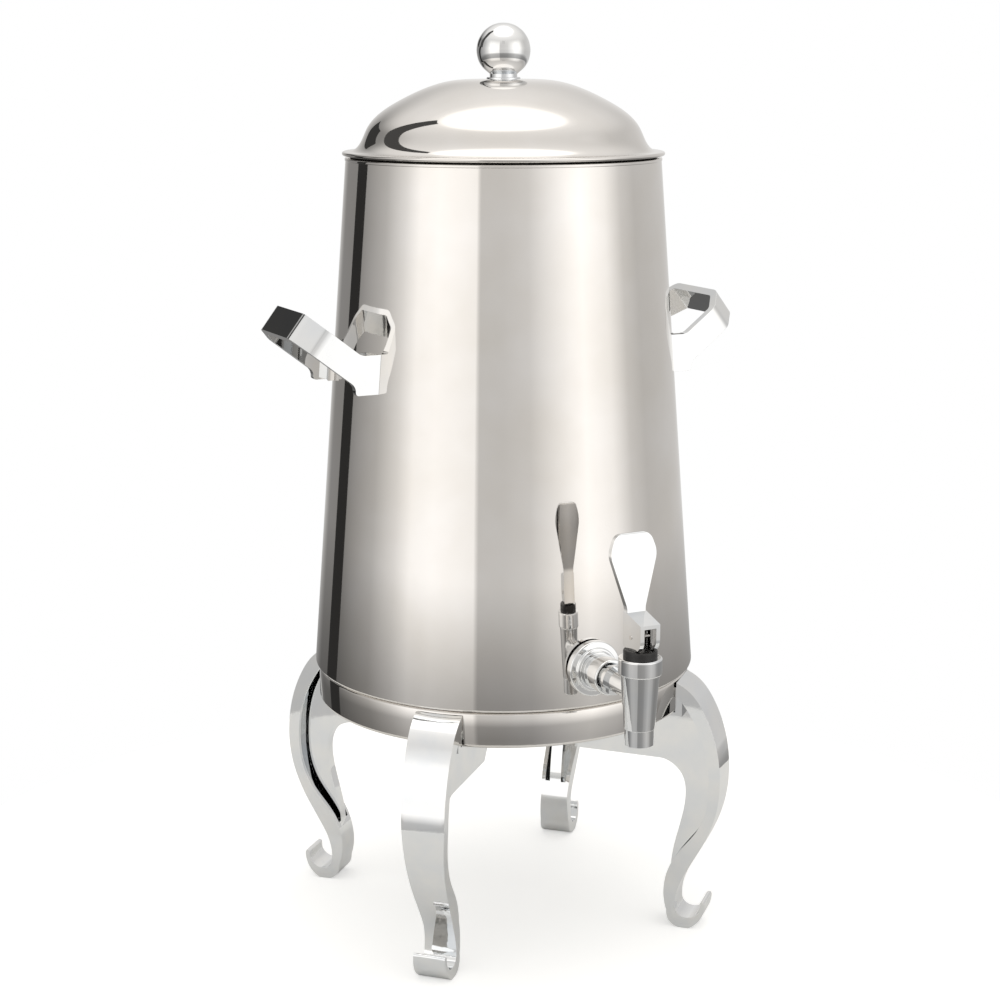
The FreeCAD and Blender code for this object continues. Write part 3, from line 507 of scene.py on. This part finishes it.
class URN_OT_base(bpy.types.Operator):
    """Adds the band under the body and the dark seal in the seam"""

    bl_idname = "urn.base"
    bl_label = "Base"

    def execute(self, context):
        outside = context.scene.urn_sizes.foot_radius / MM - BAND_INSET
        inside = outside - BAND_WALL
        flange = outside - BAND_FLANGE
        top = SEAM_TOP - SEAL_HEIGHT
        low = top - BAND_HEIGHT
        band = outline(((flange, low), (outside, low, BAND_BEND), (outside, top, BAND_BEND), (flange, top),
                        (flange, top - BAND_WALL), (inside, top - BAND_WALL, 1.2),
                        (inside, low + BAND_WALL, 1.2), (flange, low + BAND_WALL)))
        add_steel(spun(band, steps=224), "base_band_skin", ("base_band",))

        seal_edge = outside - SEAL_INSET
        seal = outline(((flange, top), (seal_edge, top), (seal_edge, SEAM_TOP), (flange, SEAM_TOP)))
        add_piece(spun(seal, steps=160), "seam_seal", "urn", "pressed_silicone", ("seam_gasket",))
        return {"FINISHED"}


class URN_OT_legs(bpy.types.Operator):
    """Adds the four cast legs with their polished edges"""

    bl_idname = "urn.legs"
    bl_label = "Legs"

    def execute(self, context):
        for place in LEGS:
            node = place + "_leg"
            add_chrome(casting_copy(node), place + "_cabriole_leg", (node,),
                       edge=context.scene.urn_sizes.cast_edge)
        return {"FINISHED"}


class URN_OT_handles(bpy.types.Operator):
    """Adds the two cast strap handles"""

    bl_idname = "urn.handles"
    bl_label = "Handles"

    def execute(self, context):
        for side in HANDLES:
            node = side + "_handle"
            add_chrome(casting_copy(node), side + "_strap_handle", (node,),
                       edge=context.scene.urn_sizes.cast_edge)
        return {"FINISHED"}


class URN_OT_lid(bpy.types.Operator):
    """Adds the domed lid with its rolled rim"""

    bl_idname = "urn.lid"
    bl_label = "Lid"

    def execute(self, context):
        centre = context.scene.urn_sizes.rim_radius / MM - BEAD_RADIUS
        turns = [math.pi * i / BEAD_STEPS for i in range(BEAD_STEPS + 1)]
        bead = [(centre + BEAD_RADIUS * math.sin(turn), BEAD_HEIGHT + BEAD_RADIUS * math.cos(turn))
                for turn in turns]
        underside = [(BEAD_INSIDE, BEAD_HEIGHT - BEAD_RADIUS), (BEAD_INSIDE, DOME_INSIDE[0][1])]
        dome = outline([(SCREW_HOLE, CROWN_TOP)] + smooth_line(DOME_OUTSIDE) + bead + underside
                       + smooth_line(DOME_INSIDE) + [(SCREW_HOLE, CROWN_TOP - LID_SHEET)])
        add_steel(spun(dome, steps=224), "domed_lid_skin", ("lid_dome",), "lid")
        return {"FINISHED"}


class URN_OT_knob(bpy.types.Operator):
    """Adds the ball knob and the collar under it"""

    bl_idname = "urn.knob"
    bl_label = "Knob"

    def execute(self, context):
        radius = context.scene.urn_sizes.knob_radius / MM
        centre = KNOB_TOP - radius
        collar_top = CROWN_TOP + COLLAR_HEIGHT
        neck_angle = math.acos(KNOB_NECK / radius)
        arc = [(radius * math.cos(angle), centre + radius * math.sin(angle))
               for angle in (-neck_angle, *KNOB_ANGLES)]
        ball = flowing([(0.0, collar_top, True), (KNOB_NECK, collar_top, True),
                        (KNOB_NECK, arc[0][1], True)] + arc[1:] + [(0.0, KNOB_TOP, True)])
        add_chrome(spun(ball, steps=128), "ball_knob", ("lid_knob",), "lid")

        collar = outline(((SCREW_HOLE, CROWN_TOP), (COLLAR_RADIUS, CROWN_TOP),
                          (COLLAR_RADIUS, collar_top, 0.8), (SCREW_HOLE, collar_top)))
        add_chrome(spun(collar, steps=96), "knob_collar_ring", ("knob_collar",), "lid")
        return {"FINISHED"}


class URN_OT_wall_fitting(bpy.types.Operator):
    """Adds the stepped wall plate and the sleeve nut between the body and the tap"""

    bl_idname = "urn.wall_fitting"
    bl_label = "Wall fitting"

    def execute(self, context):
        plate = outline(((TUBE_HOLE, PLATE_BACK), (PLATE_RADIUS, PLATE_BACK),
                         (PLATE_RADIUS, PLATE_EDGE, 1.0), (PLATE_STEP_RADIUS, PLATE_LEDGE, 0.3),
                         (PLATE_STEP_RADIUS, PLATE_FRONT, 0.9),
                         (PLATE_RECESS_RADIUS + 0.4, PLATE_FRONT, 0.3),
                         (PLATE_RECESS_RADIUS, PLATE_RECESS, 0.3), (TUBE_HOLE, PLATE_RECESS)))
        add_chrome(to_tap_line(spun(plate, steps=128)), "stepped_wall_plate", ("escutcheon",))

        nut = outline(((TUBE_HOLE, PLATE_FRONT), (NUT_RADIUS, PLATE_FRONT, 0.8),
                       (NUT_RADIUS, NUT_FRONT, 1.2), (NUT_LIP_HOLE, NUT_FRONT, 0.2),
                       (NUT_LIP_HOLE, NUT_LIP), (NUT_CHAMBER_RADIUS, NUT_LIP),
                       (NUT_CHAMBER_RADIUS, NUT_CHAMBER), (TUBE_HOLE, NUT_CHAMBER)))
        add_chrome(to_tap_line(spun(nut, steps=128)), "sleeve_nut", ("tap_union_nut",))
        return {"FINISHED"}


class URN_OT_valve(bpy.types.Operator):
    """Adds the valve body with its tail, the black ring on it and the spring inside"""

    bl_idname = "urn.valve"
    bl_label = "Valve"

    def execute(self, context):
        valve = casting_copy("tap_body")
        for corner in valve.verts:
            off_axis = math.hypot(corner.co.x, corner.co.y + TAP_AXIS)
            if corner.co.z > VALVE_SHOULDER and off_axis > VALVE_SHOULDER_RADIUS:
                corner.co.z += VALVE_SHOULDER_LIFT
        add_chrome(valve, "valve_body", ("tap_body",), edge=context.scene.urn_sizes.valve_edge)

        ring = outline(((STEM_HOLE, BONNET_FOOT), (BONNET_PLUG, BONNET_FOOT), (BONNET_PLUG, BONNET_SEAT),
                        (BONNET_RADIUS, BONNET_SEAT, 0.5), (BONNET_RADIUS, BONNET_TOP, 1.2),
                        (STEM_HOLE, BONNET_TOP)))
        spun(ring, steps=96)
        bmesh.ops.translate(ring, verts=ring.verts[:], vec=(0, -TAP_AXIS, 0))
        add_piece(ring, "bonnet_ring", "urn", "moulded_black_nylon", ("tap_bonnet",))

        # The spring rides on no body, and its head sits under the bonnet
        coil = casting_copy("tap_spring")
        spring = add_steel(coil, "stem_spring", ("tap_spring",), None)
        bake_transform(spring)
        return {"FINISHED"}


class URN_OT_lever(bpy.types.Operator):
    """Adds the tap's paddle lever"""

    bl_idname = "urn.lever"
    bl_label = "Lever"

    def execute(self, context):
        add_chrome(casting_copy("tap_lever"), "paddle_lever", ("tap_lever",), "lever",
                   edge=context.scene.urn_sizes.lever_edge)
        return {"FINISHED"}


class URN_OT_hardware(bpy.types.Operator):
    """Gives the screws, nuts, plates, stem and seals their own finishes"""

    bl_idname = "urn.hardware"
    bl_label = "Hardware finishes"

    def execute(self, context):
        for names, finish_name in ((STEEL_NODES, "polished_stainless_steel"),
                                   (SILICONE_NODES, "pressed_silicone")):
            for name in names:
                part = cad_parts[name]
                for place in part.material_slots:
                    place.material = finish(finish_name)
        return {"FINISHED"}


class URN_OT_stage(bpy.types.Operator):
    """Adds the pale floor, the studio light and the camera"""

    bl_idname = "urn.stage"
    bl_label = "Stage"

    def execute(self, context):
        add_floor(context.scene)
        light_studio(context.scene)
        place_camera(context.scene)
        context.scene.view_settings.view_transform = "Standard"
        return {"FINISHED"}


# Stage

WHITE = (1.0, 1.0, 1.0, 1.0)

CAMERA_TURN = math.radians(-26.2)
CAMERA_TILT = math.radians(77.58)
CAMERA_LENS = 72.126
CAMERA_SHIFT = -0.0035
SENSOR_WIDTH = 36.0

# The board gives the urn little light of its own, and the camera sees it nearly as white as the ground
FLOOR_RADIUS = 0.45
FLOOR_GLOW = 0.02
FLOOR_GLOW_SEEN = 0.4

# The studio is a plain surrounding: a turn is in degrees from the camera towards its right, and a height
# in degrees above the horizon.
STUDIO_STRENGTH = 1.5
STUDIO_WARMTH = (1.0, 0.985, 0.965)

# Brightness by the turn. White soft boxes stand at both sides of the camera, with a grey gap between
# them, and the back is dim.
STUDIO_RING = ((-180, 0.60), (-150, 0.20), (-120, 0.20), (-90, 0.40), (-72, 0.65), (-60, 0.90),
               (-45, 0.95), (-30, 0.90), (-18, 0.85), (-16, 0.50), (0, 0.50), (17, 0.55), (45, 0.90),
               (55, 1.00), (75, 0.85), (90, 0.55), (105, 0.45), (160, 0.50), (180, 0.60))

# What the height leaves of it, as a share of RISE_FULL. The boxes end a little under the horizon.
RISE_FULL = 1.1
STUDIO_RISE = ((-90, 0.36), (-24, 0.38), (-17, 0.46), (-12, 0.98), (-4, 0.98), (8, 1.06), (30, 1.0),
               (90, 1.0))

# Brightness by height of the large overhead box, which takes over from the ring between two heights
STUDIO_ROOF = ((-90, 0.50), (36, 0.56), (54, 0.66), (58.5, 0.74), (62.1, 1.0), (90, 1.0))
ROOF_FOOT = math.radians(18)
ROOF_ALONE = math.radians(39.6)

# Cards: middle and half size of the turn, the same of the height, how far one leans for each degree of
# height, and its brightness. Three black flags stand at the back left, one of them below the horizon
# and leaning, and a grey card hangs over the camera.
STUDIO_CARDS = ((-122, 7, -40, 49, 0.4, 0.02),
                (-112, 9, 34, 25, 0.0, 0.05),
                (-143, 10, 13, 7, 0.0, 0.03),
                (0, 7, 31, 6, 0.0, 0.45))


def grey(value):
    """A slightly warm grey of that brightness."""
    return tuple(value * share for share in STUDIO_WARMTH) + (1.0,)


def add_floor(scene):
    """The pale round board that the urn stands on."""
    mesh = bmesh.new()
    bmesh.ops.create_circle(mesh, cap_ends=True, segments=128, radius=FLOOR_RADIUS)
    data = bpy.data.meshes.new("studio_floor")
    mesh.to_mesh(data)
    mesh.free()
    floor = bpy.data.objects.new("studio_floor", data)
    bpy.context.collection.objects.link(floor)
    material, tree, output, place = new_material("matt_painted_board")
    paint = add_node(tree, "ShaderNodeTexNoise", {"Scale": 1 / (2.5 * MM), "Detail": 3.0},
                     {"Vector": place})
    bump = add_node(tree, "ShaderNodeBump", {"Strength": 0.05, "Distance": 0.1 * MM},
                    {"Height": paint.outputs[0]})
    ray = add_node(tree, "ShaderNodeLightPath")
    glow = add_node(tree, "ShaderNodeMath",
                    {"operation": "MULTIPLY_ADD", 1: FLOOR_GLOW_SEEN, 2: FLOOR_GLOW},
                    {0: ray.outputs["Is Camera Ray"]})
    surface = add_node(tree, "ShaderNodeBsdfPrincipled",
                       {"Base Color": scene.urn_colours.floor, "Roughness": 0.7,
                        "Specular IOR Level": 0.2, "Emission Color": WHITE},
                       {"Normal": bump.outputs[0], "Emission Strength": glow.outputs[0]})
    tree.links.new(surface.outputs[0], output.inputs["Surface"])
    data.materials.append(material)


def by_angle(tree, angle, reach, stops):
    """Colour by an angle that runs reach degrees to both sides, from stops in degrees."""
    share = add_node(tree, "ShaderNodeMapRange",
                     {"From Min": -math.radians(reach), "From Max": math.radians(reach)},
                     {"Value": angle})
    ramp = add_node(tree, "ShaderNodeValToRGB", None, {"Fac": share.outputs[0]})
    set_stops(ramp, [((degrees + reach) / (2 * reach), colour) for degrees, colour in stops])
    return ramp.outputs[0]


def light_studio(scene):
    """A studio of soft boxes, flags and a large overhead box, seen by the urn and not by the camera."""
    world = bpy.data.worlds.new("soft_studio")
    scene.world = world
    world.use_nodes = True
    tree = world.node_tree
    tree.nodes.clear()

    # The way that is looked in, as a turn and a rise in radians
    way = add_node(tree, "ShaderNodeTexCoord").outputs["Generated"]
    turned = add_node(tree, "ShaderNodeMapping", {"Rotation": (0.0, 0.0, -CAMERA_TURN)}, {"Vector": way})
    parts = add_node(tree, "ShaderNodeSeparateXYZ", None, {"Vector": turned.outputs[0]})
    towards = add_node(tree, "ShaderNodeMath", {"operation": "MULTIPLY", 1: -1.0}, {0: parts.outputs[1]})
    turn = add_node(tree, "ShaderNodeMath", {"operation": "ARCTAN2"},
                    {0: parts.outputs[0], 1: towards.outputs[0]}).outputs[0]
    rise = add_node(tree, "ShaderNodeMath", {"operation": "ARCSINE"}, {0: parts.outputs[2]}).outputs[0]

    ring = by_angle(tree, turn, 180, [(degrees, grey(value)) for degrees, value in STUDIO_RING])
    ring_share = by_angle(tree, rise, 90, [(degrees, (value / RISE_FULL,) * 3 + (1.0,))
                                           for degrees, value in STUDIO_RISE])
    walls = add_node(tree, "ShaderNodeMix", {"data_type": "RGBA", "blend_type": "MULTIPLY", 0: 1.0},
                     {6: ring, 7: ring_share})
    roof = by_angle(tree, rise, 90, [(degrees, grey(value)) for degrees, value in STUDIO_ROOF])
    roof_share = add_node(tree, "ShaderNodeMapRange",
                          {"From Min": ROOF_FOOT, "From Max": ROOF_ALONE,
                           "interpolation_type": "SMOOTHSTEP"}, {"Value": rise})
    room = add_node(tree, "ShaderNodeMix", {"data_type": "RGBA"},
                    {0: roof_share.outputs[0], 6: walls.outputs[2], 7: roof})

    seen = room.outputs[2]
    for turn_middle, turn_half, rise_middle, rise_half, lean, brightness in STUDIO_CARDS:
        upright = add_node(tree, "ShaderNodeMath", {"operation": "MULTIPLY_ADD", 1: -lean},
                           {0: rise, 2: turn})
        across = add_node(tree, "ShaderNodeMath",
                          {"operation": "COMPARE",
                           1: math.radians(turn_middle), 2: math.radians(turn_half)},
                          {0: upright.outputs[0]})
        height = add_node(tree, "ShaderNodeMath",
                          {"operation": "COMPARE",
                           1: math.radians(rise_middle), 2: math.radians(rise_half)},
                          {0: rise})
        inside = add_node(tree, "ShaderNodeMath", {"operation": "MULTIPLY"},
                          {0: across.outputs[0], 1: height.outputs[0]})
        card = add_node(tree, "ShaderNodeMix", {"data_type": "RGBA", 7: grey(brightness)},
                        {0: inside.outputs[0], 6: seen})
        seen = card.outputs[2]

    studio = add_node(tree, "ShaderNodeBackground", {"Strength": STUDIO_STRENGTH}, {"Color": seen})
    plain = add_node(tree, "ShaderNodeBackground", {"Color": WHITE, "Strength": 1.0})
    ray = add_node(tree, "ShaderNodeLightPath")
    mix = add_node(tree, "ShaderNodeMixShader", None,
                   {0: ray.outputs["Is Camera Ray"], 1: studio.outputs[0], 2: plain.outputs[0]})
    add_node(tree, "ShaderNodeOutputWorld", None, {"Surface": mix.outputs[0]})


def place_camera(scene):
    """The camera at the photograph's height, turn and angle."""
    sizes = scene.urn_sizes
    data = bpy.data.cameras.new("studio_camera")
    data.sensor_width = SENSOR_WIDTH
    data.lens = CAMERA_LENS
    data.shift_x = CAMERA_SHIFT
    camera = bpy.data.objects.new("studio_camera", data)
    camera.location = (sizes.camera_distance * math.sin(CAMERA_TURN),
                       -sizes.camera_distance * math.cos(CAMERA_TURN), sizes.camera_height)
    camera.rotation_euler = (CAMERA_TILT, 0.0, CAMERA_TURN)
    bpy.context.collection.objects.link(camera)
    scene.camera = camera


class URN_PT_panel(bpy.types.Panel):
    """Lists the urn's sizes, colours and pieces"""

    bl_idname = "URN_PT_panel"
    bl_label = "Coffee urn"
    bl_space_type = "VIEW_3D"
    bl_region_type = "UI"
    bl_category = "Urn"

    def draw(self, context):
        for group in (context.scene.urn_sizes, context.scene.urn_colours):
            for name in group.__annotations__:
                self.layout.prop(group, name)
        for operator in OPERATORS:
            self.layout.operator(operator.bl_idname)


OPERATORS = (URN_OT_stage, URN_OT_body, URN_OT_base, URN_OT_legs, URN_OT_handles, URN_OT_lid,
             URN_OT_knob, URN_OT_wall_fitting, URN_OT_valve, URN_OT_lever, URN_OT_hardware)
CLASSES = (UrnSizes, UrnColours) + OPERATORS + (URN_PT_panel,)


def register():
    for cls in CLASSES:
        bpy.utils.register_class(cls)
    bpy.types.Scene.urn_sizes = bpy.props.PointerProperty(type=UrnSizes)
    bpy.types.Scene.urn_colours = bpy.props.PointerProperty(type=UrnColours)


def unregister():
    del bpy.types.Scene.urn_colours
    del bpy.types.Scene.urn_sizes
    for cls in reversed(CLASSES):
        bpy.utils.unregister_class(cls)


def main():
    register()
    bpy.ops.urn.stage()
    bpy.ops.urn.body()
    bpy.ops.urn.base()
    bpy.ops.urn.legs()
    bpy.ops.urn.handles()
    bpy.ops.urn.lid()
    bpy.ops.urn.knob()
    bpy.ops.urn.wall_fitting()
    bpy.ops.urn.valve()
    bpy.ops.urn.lever()
    bpy.ops.urn.hardware()


if __name__ == "__main__":
    main()
